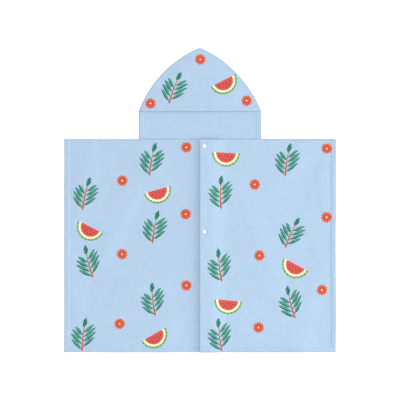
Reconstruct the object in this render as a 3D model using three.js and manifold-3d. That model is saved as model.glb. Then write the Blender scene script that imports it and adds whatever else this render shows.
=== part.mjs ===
// A child's hooded bath poncho in terry cloth, laid flat on its back with the front facing up.
// Units are millimetres. X runs across the garment, Y from hem to hood, and Z up from the surface it lies on.
// The origin is in the middle of the garment's outline, on that surface.
import * as THREE from "three";
import { mergeVertices } from "three/addons/utils/BufferGeometryUtils.js";
import Module from "manifold-3d";

// Driving sizes of the cut
const BODY_WIDTH = 700;
const BODY_LENGTH = 549;
const HOOD_WIDTH = 315;
const NECK_DEPTH = 72; // hood back that shows between the fronts' neck edge and the hood's front edge
const HOOD_HEIGHT = 164; // from the hood's front edge to its point
const HOOD_BULGE = 23.5; // rise of the hood's curved side over its straight chord
const HOOD_TIP = 3; // half width left at the turned point
const UNDERLAP = 22; // how far the lower front runs under the upper one

// Cloth, hems and seams
const CLOTH = 2.8;
const GAP = 0.3;
const HEM = 10;
const PLACKET = 22; // the wide hem down each centre front, which carries the snaps
const HEM_RISE = 0.8;
const HEM_SLOPE = 2;
const EDGE_ROUND = 1.2;
const CELL = 30; // widest spacing of the points across a panel
const FLAT_CELL = 160; // and across one that lies flat
const CURVE_STEPS = 12; // rows of points up the hood's curved side

// The upper front steps over the lower one and comes down again beside it
const LAP_RISE = 5.4;
const LAP_FLAT = UNDERLAP + 2;
const LAP_SLOPE = 48;

// Snap fasteners, set in the middle of the placket
const SNAP_INSET = PLACKET / 2;
const SNAP_DROP = 18;
const SNAP_PITCH = 220;
const SNAP_SIDES = 16;
const SNAP = {
  capRadius: 5.35,
  capHeight: 1.3,
  backCapHeight: 1.0,
  capSlope: 1.6, // width of the cap's sloping border
  postRadius: 1.9,
  holeRadius: 2.3,
  ringRadius: 4.7,
  flangeHeight: 0.8,
  studHeight: 0.9,
  socketHeight: 1.6,
  step: 0.5, // the small steps and bevels of the moulded pieces
  cloth: 1.6, // the cloth is pressed this thin between cap and ring
  grip: 5.7, // half side of the pressed spot
  fade: 11, // where the cloth has its full thickness again
};

// Levels along Y, and the two snaps
const HEM_Y = -(BODY_LENGTH + NECK_DEPTH + HOOD_HEIGHT) / 2;
const NECK_Y = HEM_Y + BODY_LENGTH;
const HOOD_EDGE_Y = NECK_Y + NECK_DEPTH;
const PEAK_Y = HOOD_EDGE_Y + HOOD_HEIGHT;
const SIDE_X = BODY_WIDTH / 2;
const NECK_X = HOOD_WIDTH / 2;
const SNAP_YS = [NECK_Y - SNAP_DROP, NECK_Y - SNAP_DROP - SNAP_PITCH];

// Low swells where the cloth stands a little off the layer under it: place, reach along and across, turn, height.
// They fade out over this width beside a seam.
const SEAM_FADE = 30;
const UNDER_SWELLS = [
  { x: -300, y: 60, along: 120, across: 34, turn: 80, height: 2.6 },
  { x: -215, y: -60, along: 150, across: 30, turn: 62, height: 1.9 },
  { x: -120, y: 70, along: 80, across: 26, turn: 118, height: 1.7 },
  { x: -330, y: -230, along: 95, across: 30, turn: 96, height: 2.4 },
  { x: -190, y: -270, along: 130, across: 34, turn: 20, height: 2.0 },
  { x: -90, y: -370, along: 70, across: 26, turn: 74, height: 2.2 },
];
const OVER_SWELLS = [
  { x: 325, y: 20, along: 110, across: 32, turn: 94, height: 2.8 },
  { x: 225, y: 80, along: 120, across: 28, turn: 55, height: 1.8 },
  { x: 150, y: -110, along: 150, across: 32, turn: 112, height: 2.1 },
  { x: 300, y: -210, along: 120, across: 34, turn: 66, height: 2.2 },
  { x: 175, y: -330, along: 110, across: 30, turn: 150, height: 2.0 },
  { x: 260, y: -385, along: 60, across: 26, turn: 88, height: 2.3 },
];
const HOOD_SWELLS = [
  { x: -20, y: 236, along: 90, across: 22, turn: 4, height: 1.6 },
  { x: 62, y: 290, along: 70, across: 24, turn: 128, height: 1.5 },
  { x: -55, y: 310, along: 60, across: 20, turn: 52, height: 1.2 },
];

function smoothStep(from, to, value) {
  const t = Math.min(1, Math.max(0, (value - from) / (to - from)));
  return t * t * (3 - 2 * t);
}

function swell(table, x, y) {
  let height = 0;
  for (const row of table) {
    const turn = THREE.MathUtils.degToRad(row.turn);
    const along = (x - row.x) * Math.cos(turn) + (y - row.y) * Math.sin(turn);
    const across = (y - row.y) * Math.cos(turn) - (x - row.x) * Math.sin(turn);
    height += row.height * Math.exp(-((along / row.along) ** 2) - (across / row.across) ** 2);
  }
  return height;
}

function awayFromSeam(distance) {
  return smoothStep(0, SEAM_FADE, distance);
}

// The hood's curved side is an arc from the end of its front edge to its point
const CHORD = Math.hypot(NECK_X, HOOD_HEIGHT);
const CURVE_RADIUS = (CHORD ** 2 / 4 + HOOD_BULGE ** 2) / (2 * HOOD_BULGE);
const CURVE_CENTRE = {
  x: NECK_X / 2 - ((CURVE_RADIUS - HOOD_BULGE) * HOOD_HEIGHT) / CHORD,
  y: HOOD_EDGE_Y + HOOD_HEIGHT / 2 - ((CURVE_RADIUS - HOOD_BULGE) * NECK_X) / CHORD,
};

// Half width of the hood at a level: straight beside the neck, then the arc
function hoodHalfWidth(y) {
  if (y <= HOOD_EDGE_Y) return NECK_X;
  const across = Math.sqrt(Math.max(0, CURVE_RADIUS ** 2 - (y - CURVE_CENTRE.y) ** 2));
  return Math.max(HOOD_TIP, CURVE_CENTRE.x + across);
}

// Levels up the arc at equal turns, so that the outline is evenly smooth
function curveLevels() {
  const turnAt = (y) => Math.asin((y - CURVE_CENTRE.y) / CURVE_RADIUS);
  const [start, end] = [turnAt(HOOD_EDGE_Y), turnAt(PEAK_Y)];
  const share = (k) => start + ((end - start) * k) / CURVE_STEPS;
  const inside = Array.from({ length: CURVE_STEPS - 1 }, (_, k) => share(k + 1));
  return [...inside.map((turn) => CURVE_CENTRE.y + CURVE_RADIUS * Math.sin(turn)), PEAK_Y];
}

// How much a folded hem adds to the thickness at this distance from its edge
function hemRise(distance, width) {
  return HEM_RISE * (1 - smoothStep(width, width + HEM_SLOPE, distance));
}

// Shares of the thickness where an edge's rounded rim starts and ends
const FREE_RIM = [0.25, 0.75];
const SEAM_BELOW = [0.5, 1]; // the lower layer of a seam turns up to meet the upper one
const SEAM_ABOVE = [0, 0.5];
const BUTT_SEAM = [0.1, 0.9]; // two edges sewn side by side

// The back panel, and the hood back beside it, lie on the surface; hems are folded to the inside, which is up
function backRise(x, y) {
  return Math.max(hemRise(SIDE_X - Math.abs(x), HEM), hemRise(y - HEM_Y, HEM));
}

function hoodBackRise(x, y) {
  return y < HOOD_EDGE_Y ? hemRise(NECK_X - Math.abs(x), HEM) : 0;
}

function layerUnderFronts(x, y) {
  return CLOTH + backRise(x, y) + GAP;
}

// 1 on a snap's pressed spot, falling to 0 around it
function nearSnap(x, y) {
  const distances = SNAP_YS.map((snapY) => Math.hypot(x - SNAP_INSET, y - snapY));
  return 1 - smoothStep(SNAP.grip * Math.SQRT2, SNAP.fade, Math.min(...distances));
}

// Each snap's levels, from the surface up
const BACK_CAP_Z = CLOTH + GAP;
const LOWER_CLOTH_Z = BACK_CAP_Z + SNAP.backCapHeight + GAP;
const STUD_Z = LOWER_CLOTH_Z + SNAP.cloth + GAP;
const SOCKET_Z = STUD_Z + SNAP.flangeHeight + GAP;
const UPPER_CLOTH_Z = SOCKET_Z + SNAP.socketHeight + GAP;
const CAP_Z = UPPER_CLOTH_Z + SNAP.cloth + GAP;

function mix(from, to, share) {
  return from + (to - from) * share;
}

// The lower front: its free edges are the placket, the side, the hem and the neck
const lowerFront = {
  under(x, y) {
    const laid = layerUnderFronts(x, y) + swell(UNDER_SWELLS, x, y) * awayFromSeam(NECK_Y - y);
    return mix(laid, LOWER_CLOTH_Z, nearSnap(x, y));
  },
  thickness(x, y) {
    const neckHem = Math.abs(x) < NECK_X ? hemRise(NECK_Y - y, HEM) : 0;
    const sideHem = hemRise(x + SIDE_X, HEM);
    const rise = Math.max(hemRise(UNDERLAP - x, PLACKET), sideHem, hemRise(y - HEM_Y, HEM), neckHem);
    return mix(CLOTH + rise, SNAP.cloth, nearSnap(x, y));
  },
};

// The upper front, whose edge is the centre line of the garment
const upperFront = {
  under(x, y) {
    const lap = LAP_RISE * (1 - smoothStep(LAP_FLAT, LAP_FLAT + LAP_SLOPE, x));
    const laid = layerUnderFronts(x, y) + lap + swell(OVER_SWELLS, x, y) * awayFromSeam(NECK_Y - y);
    return mix(laid, UPPER_CLOTH_Z, nearSnap(x, y));
  },
  thickness(x, y) {
    const neckHem = Math.abs(x) < NECK_X ? hemRise(NECK_Y - y, HEM) : 0;
    const sideHem = hemRise(SIDE_X - x, HEM);
    const rise = Math.max(hemRise(x, PLACKET), sideHem, hemRise(y - HEM_Y, HEM), neckHem);
    return mix(CLOTH + rise, SNAP.cloth, nearSnap(x, y));
  },
};

const hoodFront = {
  under(x, y) {
    const fromSide = hoodHalfWidth(y) - Math.abs(x);
    return CLOTH + GAP + swell(HOOD_SWELLS, x, y) * awayFromSeam(fromSide);
  },
  thickness: (x, y) => CLOTH + hemRise(y - HOOD_EDGE_Y, HEM),
};

// Points from one edge to the other, close together at each folded edge and passing through the listed places
function lines(from, to, hemAtFrom, hemAtTo, places = [], cell = CELL) {
  const edge = (width) => (width ? [0, EDGE_ROUND, width, width + HEM_SLOPE] : [0, EDGE_ROUND]);
  const fixed = [
    ...edge(hemAtFrom).map((step) => from + step),
    ...places,
    ...edge(hemAtTo).map((step) => to - step),
  ].sort((a, b) => a - b);
  const all = [fixed[0]];
  for (const next of fixed.slice(1)) {
    const last = all[all.length - 1];
    const count = Math.ceil((next - last) / cell);
    for (let i = 1; i <= count; i++) all.push(mix(last, next, i / count));
  }
  return all;
}

function around(centre, ...steps) {
  return [...steps.map((step) => centre - step), centre, ...steps.map((step) => centre + step)];
}

// One wall of cloth over a grid of points. rim says, for a point on the outline, where its edge is rounded.
function clothWall(rows, under, thickness, rim) {
  const across = rows[0].length;
  const positions = [];
  const faces = [];
  const last = rows.length - 1;
  rows.forEach((row, j) => {
    row.forEach(([x, y], i) => {
      const onRim = j === 0 || j === last || i === 0 || i === across - 1;
      const [low, high] = onRim ? rim(x, y) : [0, 1];
      const base = under(x, y);
      const thick = thickness(x, y);
      positions.push(x, y, base + low * thick, x, y, base + high * thick);
    });
  });
  const lower = (i, j) => 2 * (j * across + i);
  const upper = (i, j) => lower(i, j) + 1;
  const quad = (a, b, c, d) => faces.push(a, b, c, a, c, d);
  for (let j = 0; j < last; j++) {
    for (let i = 0; i < across - 1; i++) {
      quad(upper(i, j), upper(i + 1, j), upper(i + 1, j + 1), upper(i, j + 1));
      quad(lower(i, j), lower(i, j + 1), lower(i + 1, j + 1), lower(i + 1, j));
    }
    quad(lower(0, j), upper(0, j), upper(0, j + 1), lower(0, j + 1));
    const end = across - 1;
    quad(lower(end, j), lower(end, j + 1), upper(end, j + 1), upper(end, j));
  }
  for (let i = 0; i < across - 1; i++) {
    quad(lower(i, 0), lower(i + 1, 0), upper(i + 1, 0), upper(i, 0));
    quad(lower(i, last), upper(i, last), upper(i + 1, last), lower(i + 1, last));
  }
  const geometry = new THREE.BufferGeometry();
  geometry.setAttribute("position", new THREE.Float32BufferAttribute(positions, 3));
  geometry.setIndex(faces);
  return geometry;
}

function rectangle(xs, ys) {
  return ys.map((y) => xs.map((x) => [x, y]));
}

// Rows across the hood at the given levels, narrowing with its outline, with so many points between the side hems
function hoodRows(levels, inner) {
  return levels.map((y) => {
    const half = hoodHalfWidth(y);
    const fit = Math.min(1, half / (2 * HEM));
    const side = [0, EDGE_ROUND, HEM, HEM + HEM_SLOPE].map((distance) => distance * fit - half);
    const reach = -side[side.length - 1];
    const middle = Array.from({ length: inner }, (_, k) => mix(-reach, reach, (k + 1) / (inner + 1)));
    const xs = [...side, ...middle, ...side.map((x) => -x).reverse()];
    return xs.map((x) => [x, y]);
  });
}

const wasm = await Module();
wasm.setup();

function toSolid(geometry) {
  const bare = geometry.clone();
  bare.deleteAttribute("normal");
  bare.deleteAttribute("uv");
  const merged = mergeVertices(bare, 1e-4);
  const vertProperties = merged.attributes.position.array;
  const triVerts = new Uint32Array(merged.index.array);
  return new wasm.Manifold(new wasm.Mesh({ numProp: 3, vertProperties, triVerts }));
}

function toGeometry(solid) {
  const { vertProperties, triVerts } = solid.getMesh();
  const geometry = new THREE.BufferGeometry();
  geometry.setAttribute("position", new THREE.BufferAttribute(new Float32Array(vertProperties), 3));
  geometry.setIndex(new THREE.BufferAttribute(new Uint32Array(triVerts), 1));
  return geometry;
}

// Both fronts are pierced for the posts of the snaps
function pierced(geometry) {
  let solid = toSolid(geometry);
  const drillLength = 4 * CAP_Z;
  for (const y of SNAP_YS) {
    const drill = new THREE.CylinderGeometry(SNAP.holeRadius, SNAP.holeRadius, drillLength, SNAP_SIDES);
    drill.rotateX(Math.PI / 2).translate(SNAP_INSET, y, 0);
    solid = solid.subtract(toSolid(drill));
  }
  return toGeometry(solid);
}

// A snap's pieces are turned about an upright axis, from a profile of [radius, height] points
function turned(profile) {
  const points = profile.map(([radius, height]) => new THREE.Vector2(radius, height));
  return new THREE.LatheGeometry(points, SNAP_SIDES).rotateX(Math.PI / 2);
}

function capShape(height, postLength) {
  const { capRadius: wide, postRadius: post, capSlope: slope, step } = SNAP;
  return turned([
    [0, -postLength],
    [post, -postLength],
    [post, 0],
    [wide - step / 2, 0],
    [wide, height / 3],
    [wide - step, height - step / 2],
    [wide - slope, height],
    [0, height],
  ]);
}

function socketShape() {
  const { ringRadius: wide, holeRadius: hole, socketHeight: high, step } = SNAP;
  return turned([
    [hole, 0],
    [wide - 2 * step, 0],
    [wide - 2 * step, high - 2 * step],
    [wide, high - step],
    [wide, high],
    [hole, high],
    [hole, 0],
  ]);
}

function studShape() {
  const { ringRadius: wide, postRadius: stud, flangeHeight: flange, studHeight: rise, step } = SNAP;
  return turned([
    [0, 0],
    [wide, 0],
    [wide, flange / 2],
    [wide - step, flange],
    [stud - step / 2, flange],
    [stud, flange + rise / 2],
    [stud - step, flange + rise],
    [0, flange + rise],
  ]);
}

const printedTerry = new THREE.MeshStandardMaterial({ color: 0xbbd5f0, roughness: 0.95, metalness: 0 });
const plainTerry = new THREE.MeshStandardMaterial({ color: 0xbcd6f0, roughness: 0.97, metalness: 0 });
const snapPlastic = new THREE.MeshStandardMaterial({ color: 0xf4f6f7, roughness: 0.35, metalness: 0 });

const poncho = new THREE.Group();

function add(name, geometry, material, x = 0, y = 0, z = 0) {
  const mesh = new THREE.Mesh(geometry, material);
  mesh.name = name;
  mesh.position.set(x, y, z);
  poncho.add(mesh);
}

// Back panel: flat on the surface, sewn to the fronts at the shoulders and to the hood between them
const backXs = lines(-SIDE_X, SIDE_X, HEM, HEM, [-NECK_X, NECK_X], FLAT_CELL);
const backYs = lines(HEM_Y, NECK_Y, HEM, 0, [], FLAT_CELL);
function backRim(x, y) {
  if (y < NECK_Y) return FREE_RIM;
  return Math.abs(x) > NECK_X ? SEAM_BELOW : BUTT_SEAM;
}
const back = clothWall(
  rectangle(backXs, backYs),
  () => 0,
  (x, y) => CLOTH + backRise(x, y),
  backRim,
);
add("back_panel", back, printedTerry);

// Hood back: the strip behind the neck and the pointed back of the hood, in one piece
const neckStart = NECK_Y + GAP;
const hoodBackLevels = [neckStart, neckStart + EDGE_ROUND, HOOD_EDGE_Y, ...curveLevels()];
function hoodBackRim(x, y) {
  if (y >= HOOD_EDGE_Y) return SEAM_BELOW;
  return y === neckStart ? BUTT_SEAM : FREE_RIM;
}
const hoodBack = clothWall(
  hoodRows(hoodBackLevels, 1),
  () => 0,
  (x, y) => CLOTH + hoodBackRise(x, y),
  hoodBackRim,
);
add("hood_back", hoodBack, plainTerry);

// Hood front: sewn to the hood back round its curve, open and hemmed along its straight edge
const hoodHemLevels = [0, EDGE_ROUND, HEM, HEM + HEM_SLOPE].map((step) => HOOD_EDGE_Y + step);
const hoodFrontLevels = [...hoodHemLevels, ...curveLevels()];
const hoodFrontRim = (x, y) => (y === HOOD_EDGE_Y ? FREE_RIM : SEAM_ABOVE);
const hoodTop = clothWall(hoodRows(hoodFrontLevels, 7), hoodFront.under, hoodFront.thickness, hoodFrontRim);
add("hood_front", hoodTop, printedTerry);

// The two fronts, sewn to the back at the shoulders and free elsewhere; the upper snap sits beside the neck hem
const [topSnapY, lowSnapY] = SNAP_YS;
const topSnapLevels = [topSnapY - SNAP.fade, ...around(topSnapY, SNAP.grip)];
const lowSnapLevels = around(lowSnapY, SNAP.grip, SNAP.fade);
const frontYs = lines(HEM_Y, NECK_Y, HEM, HEM, [...topSnapLevels, ...lowSnapLevels]);
const frontRim = (x, y) => (y === NECK_Y && Math.abs(x) > NECK_X ? SEAM_ABOVE : FREE_RIM);
const underXs = lines(-SIDE_X, UNDERLAP, HEM, PLACKET, [-NECK_X, ...around(SNAP_INSET, SNAP.grip)]);
const lapXs = [1 / 3, 2 / 3, 1].map((share) => LAP_FLAT + share * LAP_SLOPE);
const overXs = lines(0, SIDE_X, PLACKET, HEM, [...around(SNAP_INSET, SNAP.grip), ...lapXs, NECK_X]);
for (const [name, xs, front] of [
  ["front_under", underXs, lowerFront],
  ["front_over", overXs, upperFront],
]) {
  const wall = clothWall(rectangle(xs, frontYs), front.under, front.thickness, frontRim);
  add(name, pierced(wall), printedTerry);
}

// Two snaps, closed: cap and socket on the upper front, stud and its cap on the lower one
SNAP_YS.forEach((y, index) => {
  const place = (part, geometry, z) => add(`snap_${index + 1}_${part}`, geometry, snapPlastic, SNAP_INSET, y, z);
  const studTop = STUD_Z + SNAP.flangeHeight + SNAP.studHeight;
  place("cap", capShape(SNAP.capHeight, CAP_Z - studTop - GAP), CAP_Z);
  place("socket", socketShape(), SOCKET_Z);
  place("stud", studShape(), STUD_Z);
  const backCap = capShape(SNAP.backCapHeight, STUD_Z - BACK_CAP_Z - SNAP.backCapHeight - GAP);
  place("back_cap", backCap.rotateX(Math.PI), BACK_CAP_Z + SNAP.backCapHeight);
});

export default poncho;
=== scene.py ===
"""A child's hooded bath poncho in printed terry cloth, laid flat with its front up.

Lengths are in metres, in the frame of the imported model: X across, Y from hem to hood, Z up.
"""

import math
from collections import namedtuple

import bpy
import numpy as np
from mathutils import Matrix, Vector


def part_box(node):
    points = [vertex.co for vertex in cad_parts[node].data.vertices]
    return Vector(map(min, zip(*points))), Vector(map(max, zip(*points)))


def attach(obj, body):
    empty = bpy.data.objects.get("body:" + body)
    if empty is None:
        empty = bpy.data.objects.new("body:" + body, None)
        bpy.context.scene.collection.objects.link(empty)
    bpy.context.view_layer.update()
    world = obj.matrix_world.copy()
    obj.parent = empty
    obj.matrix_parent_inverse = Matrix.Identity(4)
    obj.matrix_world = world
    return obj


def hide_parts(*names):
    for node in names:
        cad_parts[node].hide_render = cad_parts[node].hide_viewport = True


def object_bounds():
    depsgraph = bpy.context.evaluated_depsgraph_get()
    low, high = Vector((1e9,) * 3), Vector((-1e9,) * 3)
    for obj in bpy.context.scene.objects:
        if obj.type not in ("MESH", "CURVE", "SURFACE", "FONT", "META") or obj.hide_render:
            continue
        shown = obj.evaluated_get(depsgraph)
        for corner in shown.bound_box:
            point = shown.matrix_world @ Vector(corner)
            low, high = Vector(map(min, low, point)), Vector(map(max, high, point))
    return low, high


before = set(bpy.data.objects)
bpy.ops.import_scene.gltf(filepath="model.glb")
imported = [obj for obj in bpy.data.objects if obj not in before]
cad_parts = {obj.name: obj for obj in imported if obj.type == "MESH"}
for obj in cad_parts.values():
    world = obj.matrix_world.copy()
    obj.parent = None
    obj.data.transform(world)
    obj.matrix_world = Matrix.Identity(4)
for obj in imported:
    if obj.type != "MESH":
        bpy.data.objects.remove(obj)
cad_low, cad_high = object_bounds()

# The cloth
# Cotton terry of about 400 g a square metre, with loops on both faces, dyed light blue all through.
# The loops stand about 1 mm high and lean this way and that.
# Painted shade darkens the blue between the loops, and painted light and shade mottle it where the pile
# leans.
MM = 0.001
LOOP = 1.7 * MM
LOOP_SHAPE = (1.15, 0.8, 1.0)
LOOP_SOFTNESS = 0.5
LOOP_SCATTER = 0.7
LOOP_RELIEF = 0.7
# How much darker the colour is painted between the loops, as painted shade
LOOP_SHADE = 0.26
MEAN_CROWN = 0.6
FIBRES_PER_LOOP = 4.0
FIBRE_RELIEF = 0.6
FRAYING = 0.55
LEAN_PATCH = 14 * MM
# How much lighter and darker the colour is painted where the pile leans, as painted light and shade
LEAN_SHADE = 0.09
FLOAT, VECTOR, COLOUR = "NodeSocketFloat", "NodeSocketVector", "NodeSocketColor"


def paint(red, green, blue):
    """A colour from a dyer's card, each part from 0 to 255, in the renderer's linear numbers"""
    linear = [((part / 255 + 0.055) / 1.055) ** 2.4 for part in (red, green, blue)]
    return (*linear, 1.0)


class Field:
    """A number that changes over the cloth: a node's output, which takes part in arithmetic"""

    def __init__(self, socket):
        self.socket = socket
        self.tree = socket.id_data

    def __add__(self, other):
        return compute("ADD", self, other)

    def __sub__(self, other):
        return compute("SUBTRACT", self, other)

    def __rsub__(self, other):
        return compute("SUBTRACT", other, self)

    def __mul__(self, other):
        return compute("MULTIPLY", self, other)

    def __truediv__(self, other):
        return compute("DIVIDE", self, other)

    def __abs__(self):
        return compute("ABSOLUTE", self)


def feed(plug, value):
    """Links a field or a socket to an input, or sets a plain value on it"""
    if isinstance(value, Field):
        value = value.socket
    if isinstance(value, bpy.types.NodeSocket):
        plug.id_data.links.new(value, plug)
    else:
        plug.default_value = value


def add_node(tree, kind, inputs, **settings):
    """A node with its settings made first and then its inputs fed, by their names or numbers"""
    node = tree.nodes.new(kind)
    for label, value in settings.items():
        setattr(node, label, value)
    for label, value in inputs.items():
        feed(node.inputs[label], value)
    return node


def compute(operation, *values):
    """One step of arithmetic over fields and plain numbers"""
    tree = next(value.tree for value in values if isinstance(value, Field))
    node = add_node(tree, "ShaderNodeMath", dict(enumerate(values)), operation=operation)
    return Field(node.outputs[0])


def compute_place(tree, operation, inputs):
    """One step of arithmetic over places, as a vector socket"""
    return add_node(tree, "ShaderNodeVectorMath", inputs, operation=operation).outputs[0]


def mix_colour(tree, share, first, second, blend="MIX"):
    """first where share is 0 and second where it is 1, as a colour socket"""
    share_input, first_input, second_input, colour_output = 0, 6, 7, 2
    inputs = {share_input: share, first_input: first, second_input: second}
    node = add_node(tree, "ShaderNodeMix", inputs, data_type="RGBA", blend_type=blend)
    return node.outputs[colour_output]


def new_group(name, inputs, outputs):
    """An empty shader group with named sockets, and what it is given, by name"""
    tree = bpy.data.node_groups.new(name, "ShaderNodeTree")
    for label, kind in inputs.items():
        tree.interface.new_socket(label, in_out="INPUT", socket_type=kind)
    for label, kind in outputs.items():
        tree.interface.new_socket(label, in_out="OUTPUT", socket_type=kind)
    return tree, tree.nodes.new("NodeGroupInput").outputs


def make_terry_pile():
    """Loops, loose fibres and the lean of the pile: a height for bump and a shade for colour"""
    tree, given = new_group("terry_pile", {"Vector": VECTOR}, {"Height": FLOAT, "Shade": FLOAT})
    spot = given["Vector"]
    fibres = {"Vector": spot, "Scale": FIBRES_PER_LOOP / LOOP, "Detail": 3.0, "Roughness": 0.65}
    fibres = add_node(tree, "ShaderNodeTexNoise", fibres).outputs
    frayed = {0: fibres["Color"], 1: (LOOP * FRAYING,) * 3, 2: spot}
    frayed = compute_place(tree, "MULTIPLY_ADD", frayed)
    in_rows = compute_place(tree, "MULTIPLY", {0: frayed, 1: LOOP_SHAPE})
    loops = {"Vector": in_rows, "Scale": 1 / LOOP}
    loops.update({"Smoothness": LOOP_SOFTNESS, "Randomness": LOOP_SCATTER})
    loops = add_node(tree, "ShaderNodeTexVoronoi", loops, feature="SMOOTH_F1")
    lean = {"Vector": spot, "Scale": 1 / LEAN_PATCH, "Detail": 3.0, "Roughness": 0.6}
    lean = add_node(tree, "ShaderNodeTexNoise", lean)
    crown = 1.0 - Field(loops.outputs["Distance"])
    height = crown * LOOP_RELIEF + Field(fibres[0]) * FIBRE_RELIEF
    shade = (crown - MEAN_CROWN) * LOOP_SHADE + (Field(lean.outputs[0]) - 0.5) * LEAN_SHADE + 1.0
    add_node(tree, "NodeGroupOutput", {"Height": height, "Shade": shade})
    return tree


terry_pile = make_terry_pile()

# The print
# Leafy sprigs, daisies and melon slices, screened on the outer face in opaque inks before the cutting.
# They stand in a half-drop repeat, each a little moved and turned, and the loops soften their edges.
Repeat = namedtuple("Repeat", "width height beside")
Motif = namedtuple("Motif", "group seat turn only")
BODY_REPEAT = Repeat(width=175 * MM, height=184 * MM, beside=(0.5, 0.15))
HOOD_REPEAT = Repeat(width=125 * MM, height=230 * MM, beside=(0.5, 0.32))
HALF_DROP = 0.5
WANDER = 0.045
ABOVE_SPRIG = (0.06, 0.46)
EDGE_BLUR = 0.4 * MM
LOOP_BLEED = 1.1 * MM
LEAF_LIGHT = paint(38, 153, 122)
LEAF_DARK = paint(5, 90, 78)
MINT = paint(122, 199, 178)
CORAL = paint(205, 78, 47)
ORANGE = paint(218, 82, 26)
CREAM = paint(241, 233, 205)
RIND_LIGHT = paint(126, 187, 80)
RIND_DARK = paint(68, 149, 63)
MELON_RED = paint(218, 78, 67)
SEED_BROWN = paint(92, 42, 45)
MOTIF_INPUTS = {"U": FLOAT, "V": FLOAT}
INK_OUTPUTS = {"Colour": COLOUR, "Mask": FLOAT}


def least(first, *others):
    for other in others:
        first = compute("MINIMUM", first, other)
    return first


def most(first, *others):
    for other in others:
        first = compute("MAXIMUM", first, other)
    return first


def ink(depth, blur=EDGE_BLUR):
    """1 where depth, the way in from a shape's edge, is positive and 0 outside, with a blurred edge"""
    ranges = {"Value": depth, "From Min": -blur, "From Max": blur}
    node = add_node(depth.tree, "ShaderNodeMapRange", ranges, interpolation_type="SMOOTHSTEP")
    return Field(node.outputs[0])


def lens(share, width):
    """Half width of a petal or leaf, pointed at both ends, at this share of its length"""
    return share * (1.0 - share) * (4.0 * width)


def make_sprig():
    """A bent coral stem with alternate two-tone leaves and one leaf at its tip"""
    length, stem_end, bend = 86 * MM, 63 * MM, 9 * MM
    stem_width, stem_taper = 1.9 * MM, 1.3
    first_leaf, leaf_pitch, leaf_count = 4 * MM, 12.4 * MM, 4
    leaf_width, leaf_reach, leaf_slope = 5.8 * MM, 33 * MM, 0.85
    longest_leaf, shortening = 0.4, 1.2
    rib_width, rib_end = 0.6 * MM, 0.8
    tip_overlap = 4 * MM
    tree, given = new_group("sprig", MOTIF_INPUTS, INK_OUTPUTS)
    rise = Field(given["V"]) + length / 2
    up = rise / length
    across = Field(given["U"]) - up * up * bend + bend / 3
    out = abs(across)
    alternate = compute("LESS_THAN", across, 0.0) * (leaf_pitch / 2)
    place = rise - out * leaf_slope - first_leaf + alternate
    number = compute("FLOOR", place / leaf_pitch)
    off = place - (number + 0.5) * leaf_pitch
    up_stem = (number + 0.5) / leaf_count - longest_leaf
    reach = (1.0 - up_stem * up_stem * shortening) * leaf_reach
    leaf = lens(out / reach, leaf_width) - abs(off)
    on_stem = least((number + 0.5) * leaf_pitch, (leaf_count - 0.5 - number) * leaf_pitch)
    up_tip = (rise - stem_end + tip_overlap) / (length - stem_end + tip_overlap)
    leaves = most(least(leaf, on_stem), lens(up_tip, leaf_width) - out)
    stem = least((stem_taper - up) * stem_width - out, rise, stem_end - rise)
    green = mix_colour(tree, ink(off), LEAF_DARK, LEAF_LIGHT)
    rib = least(rib_width - abs(off), out - stem_width, reach * rib_end - out)
    green = mix_colour(tree, ink(rib), green, MINT)
    colour = mix_colour(tree, ink(stem), green, CORAL)
    add_node(tree, "NodeGroupOutput", {"Colour": colour, "Mask": ink(most(leaves, stem))})
    return tree


def make_daisy():
    """Narrow blunt petals round a cream eye, orange that deepens to coral in the middle"""
    radius, eye, petals, petal_width = 15 * MM, 2.2 * MM, 12, 2.8 * MM
    petal_root = eye * 0.6
    coral_radius, coral_blur = 7 * MM, 3 * MM
    tree, given = new_group("daisy", MOTIF_INPUTS, INK_OUTPUTS)
    across, up = Field(given["U"]), Field(given["V"])
    far = compute("SQRT", across * across + up * up)
    turn = compute("ARCTAN2", across, up) * (petals / math.tau)
    off = (compute("FRACT", turn) - 0.5) * far * (math.tau / petals)
    middle = (far - petal_root) / (radius - petal_root) * 2.0 - 1.0
    blunt = middle * middle
    petal = (1.0 - blunt * blunt) * petal_width - abs(off)
    heart = eye - far
    red = mix_colour(tree, ink(coral_radius - far, coral_blur), ORANGE, CORAL)
    colour = mix_colour(tree, ink(heart), red, CREAM)
    add_node(tree, "NodeGroupOutput", {"Colour": colour, "Mask": ink(most(petal, heart))})
    return tree


def make_melon():
    """A half slice of watermelon: striped rind, cream band, red flesh and two rows of seeds"""
    radius, cut = 36 * MM, 14 * MM
    pale, flesh = 31.5 * MM, 25.5 * MM
    stripes, stripe_gap, stripe_edge = 22, 0.2, 0.25
    seed_rows = ((18 * MM, 0.50, 0.0), (9.5 * MM, 0.84, 0.42))
    seed_width, seed_length, last_seed = 1.25 * MM, 2.5 * MM, 1.15
    tree, given = new_group("melon", MOTIF_INPUTS, INK_OUTPUTS)
    across, down = Field(given["U"]), cut - Field(given["V"])
    far = compute("SQRT", across * across + down * down)
    angle = compute("ARCTAN2", across, down)
    stripe = ink(compute("SINE", angle * stripes) - stripe_gap, stripe_edge)
    colour = mix_colour(tree, stripe, RIND_LIGHT, RIND_DARK)
    colour = mix_colour(tree, ink(pale - far), colour, CREAM)
    colour = mix_colour(tree, ink(flesh - far), colour, MELON_RED)
    for ring, pitch, start in seed_rows:
        turned = angle - start
        beside = (turned - compute("ROUND", turned / pitch) * pitch) * ring / seed_width
        ahead = (far - ring) / seed_length
        seed = (1.0 - beside * beside - ahead * ahead) * seed_width
        seed = least(seed, (last_seed - abs(angle)) * ring)
        colour = mix_colour(tree, ink(seed), colour, SEED_BROWN)
    add_node(tree, "NodeGroupOutput", {"Colour": colour, "Mask": ink(least(radius - far, down))})
    return tree


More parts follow.
